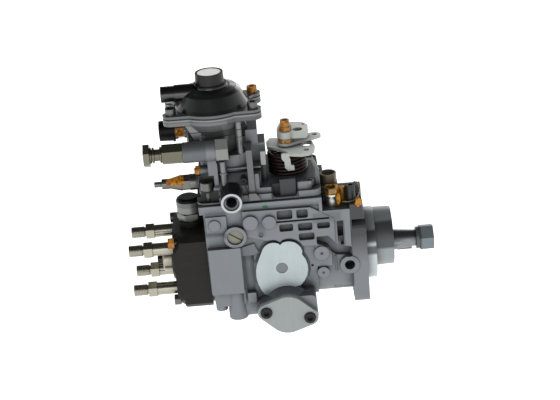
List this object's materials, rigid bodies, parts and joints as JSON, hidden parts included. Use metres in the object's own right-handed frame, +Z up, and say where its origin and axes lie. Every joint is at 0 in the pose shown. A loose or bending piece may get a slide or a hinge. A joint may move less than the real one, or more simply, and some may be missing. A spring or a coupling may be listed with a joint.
{
  "type": "diesel injection pump",
  "caption": "Axial-piston distributor injection pump with flange mount, tapered drive shaft, governor cover with throttle lever, boost compensator, shut-off solenoid and pipe outlets.",
  "frame": {"origin": "on the drive-shaft axis in the front face of the mounting flange", "axes": "+X along the drive shaft towards its nut, +Z up, -Y the side with the fuel inlet"},
  "size_m": [0.288, 0.132, 0.245],
  "materials": {
    "cast": "cast, fine grain",
    "gasket": "pressed fibre",
    "screw_steel": "zinc plated",
    "black_screw": "black oxide",
    "head_steel": "dark, faint machining marks",
    "ground_steel": "ground",
    "plated_steel": "yellowish zinc plate",
    "black_plastic": "satin",
    "black_enamel": "gloss black",
    "cream_plastic": "satin",
    "pressed_steel": "plain",
    "spring_steel": "oil blackened",
    "lacquered_steel": "amber sealing lacquer",
    "dark_bracket": "phosphated",
    "pale_cover": "plain die casting",
    "zinc_lever": "pale zinc plate",
    "nut_zinc": "blue zinc plate",
    "bronze": "sintered",
    "rubber": "lip seal"
  },
  "bodies": {
    "root": {"pump_housing": "cast", "governor_cover": "cast", "cover_gasket": "gasket", "cap_screws": "screw_steel", "advance_screws": "black_screw", "hydraulic_head": "head_steel", "distributor_sleeve": "ground_steel", "head_plug": "plated_steel", "outlet_holder_1": "plated_steel", "outlet_holder_2": "plated_steel", "outlet_holder_3": "plated_steel", "outlet_holder_4": "plated_steel", "solenoid_body": "plated_steel", "solenoid_cap": "black_plastic", "boost_bowl": "cast", "boost_dome": "black_enamel", "boost_cap_disc": "cream_plastic", "side_cap": "black_plastic", "side_nut": "lacquered_steel", "outlet_adapter": "plated_steel", "outlet_bolt": "plated_steel", "blanking_plugs": "plated_steel", "adjusting_screws": "screw_steel", "lever_bracket": "dark_bracket", "port_tube": "dark_bracket", "lock_bolt": "lacquered_steel", "advance_cover": "pale_cover", "spring_cover": "pale_cover", "shaft_bush": "bronze", "shaft_seal": "rubber", "feed_ring": "ground_steel", "governor_shaft": "ground_steel", "boost_spring": "spring_steel", "timing_spring": "spring_steel", "governor_spring": "spring_steel", "plunger_spring": "spring_steel", "throttle_spring": "spring_steel"},
    "drive": {"drive_shaft": "ground_steel", "shaft_nut": "nut_zinc", "drive_gear": "pressed_steel", "feed_rotor": "ground_steel", "coupling_disc": "ground_steel"},
    "plunger": {"cam_plate": "ground_steel", "distributor_plunger": "ground_steel"},
    "governor": {"governor_cage": "pressed_steel"},
    "weight_1": {"flyweight_1": "pressed_steel"},
    "weight_2": {"flyweight_2": "pressed_steel"},
    "weight_3": {"flyweight_3": "pressed_steel"},
    "weight_4": {"flyweight_4": "pressed_steel"},
    "sleeve": {"sliding_sleeve": "ground_steel"},
    "lever": {"governor_lever": "pressed_steel"},
    "collar": {"control_collar": "ground_steel"},
    "ring": {"roller_ring": "ground_steel"},
    "piston": {"timing_piston": "ground_steel"},
    "throttle": {"throttle_shaft": "ground_steel", "throttle_lever": "zinc_lever", "throttle_plate": "zinc_lever"},
    "boost": {"boost_diaphragm": "pressed_steel"},
    "armature": {"solenoid_armature": "ground_steel"},
    "valves": {"delivery_valves": "ground_steel"}
  },
  "joints": [
    {"name": "drive_shaft_spin", "type": "hinge", "parent": "root", "child": "drive", "pos_m": [0, 0, 0], "axis": [1, 0, 0], "continuous": true},
    {"name": "plunger_stroke", "type": "slide", "parent": "drive", "child": "plunger", "axis": [1, 0, 0], "range_m": [0, 0.0022], "deforming": ["plunger_spring"]},
    {"name": "governor_spin", "type": "hinge", "parent": "root", "child": "governor", "pos_m": [-0.045, 0, 0.046], "axis": [1, 0, 0], "continuous": true},
    {"name": "sleeve_slide", "type": "slide", "parent": "root", "child": "sleeve", "axis": [-1, 0, 0], "range_m": [0, 0.0042]},
    {"name": "flyweight_1_swing", "type": "hinge", "parent": "governor", "child": "weight_1", "pos_m": [-0.051, 0, 0.0635], "axis": [0, 1, 0], "range_deg": [0, 20]},
    {"name": "flyweight_2_swing", "type": "hinge", "parent": "governor", "child": "weight_2", "pos_m": [-0.051, -0.0175, 0.046], "axis": [0, 0, 1], "range_deg": [0, 20]},
    {"name": "flyweight_3_swing", "type": "hinge", "parent": "governor", "child": "weight_3", "pos_m": [-0.051, 0, 0.0285], "axis": [0, -1, 0], "range_deg": [0, 20]},
    {"name": "flyweight_4_swing", "type": "hinge", "parent": "governor", "child": "weight_4", "pos_m": [-0.051, 0.0175, 0.046], "axis": [0, 0, -1], "range_deg": [0, 20]},
    {"name": "governor_lever_swing", "type": "hinge", "parent": "root", "child": "lever", "pos_m": [-0.113, 0, 0.03], "axis": [0, -1, 0], "range_deg": [0, 16.1], "deforming": ["governor_spring"]},
    {"name": "control_collar_slide", "type": "slide", "parent": "root", "child": "collar", "axis": [1, 0, 0], "range_m": [0, 0.006]},
    {"name": "timing_piston_slide", "type": "slide", "parent": "root", "child": "piston", "axis": [0, 1, 0], "range_m": [0, 0.008], "deforming": ["timing_spring"]},
    {"name": "roller_ring_turn", "type": "hinge", "parent": "root", "child": "ring", "pos_m": [-0.08, 0, 0], "axis": [1, 0, 0], "range_deg": [0, 12.1]},
    {"name": "throttle_swing", "type": "hinge", "parent": "root", "child": "throttle", "pos_m": [-0.0665, -0.008, 0.1], "axis": [0, 0, -1], "range_deg": [0, 45], "stiffness_Nm_per_rad": 0.3, "springref_deg": -17.19, "deforming": ["throttle_spring"]},
    {"name": "boost_diaphragm_slide", "type": "slide", "parent": "root", "child": "boost", "axis": [0, 0, -1], "range_m": [0, 0.0045], "stiffness_N_per_m": 2000, "deforming": ["boost_spring"]},
    {"name": "solenoid_armature_slide", "type": "slide", "parent": "root", "child": "armature", "axis": [0, 0, 1], "range_m": [0, 0.0015]},
    {"name": "delivery_valve_lift", "type": "slide", "parent": "root", "child": "valves", "axis": [-1, 0, 0], "range_m": [0, 0.003]}
  ],
  "couplings": [
    {"joint": "governor_spin", "follows": "drive_shaft_spin", "ratio": -1.7059},
    {"joint": "governor_lever_swing", "follows": "sleeve_slide", "rad_per_m": 66.762},
    {"joint": "control_collar_slide", "follows": "sleeve_slide", "ratio": 1.42},
    {"joint": "roller_ring_turn", "follows": "timing_piston_slide", "rad_per_m": 26.18},
    {"joint": "flyweight_1_swing", "follows": "sleeve_slide", "rad_per_m": 82.903},
    {"joint": "flyweight_2_swing", "follows": "sleeve_slide", "rad_per_m": 82.903},
    {"joint": "flyweight_3_swing", "follows": "sleeve_slide", "rad_per_m": 82.903},
    {"joint": "flyweight_4_swing", "follows": "sleeve_slide", "rad_per_m": 82.903}
  ]
}
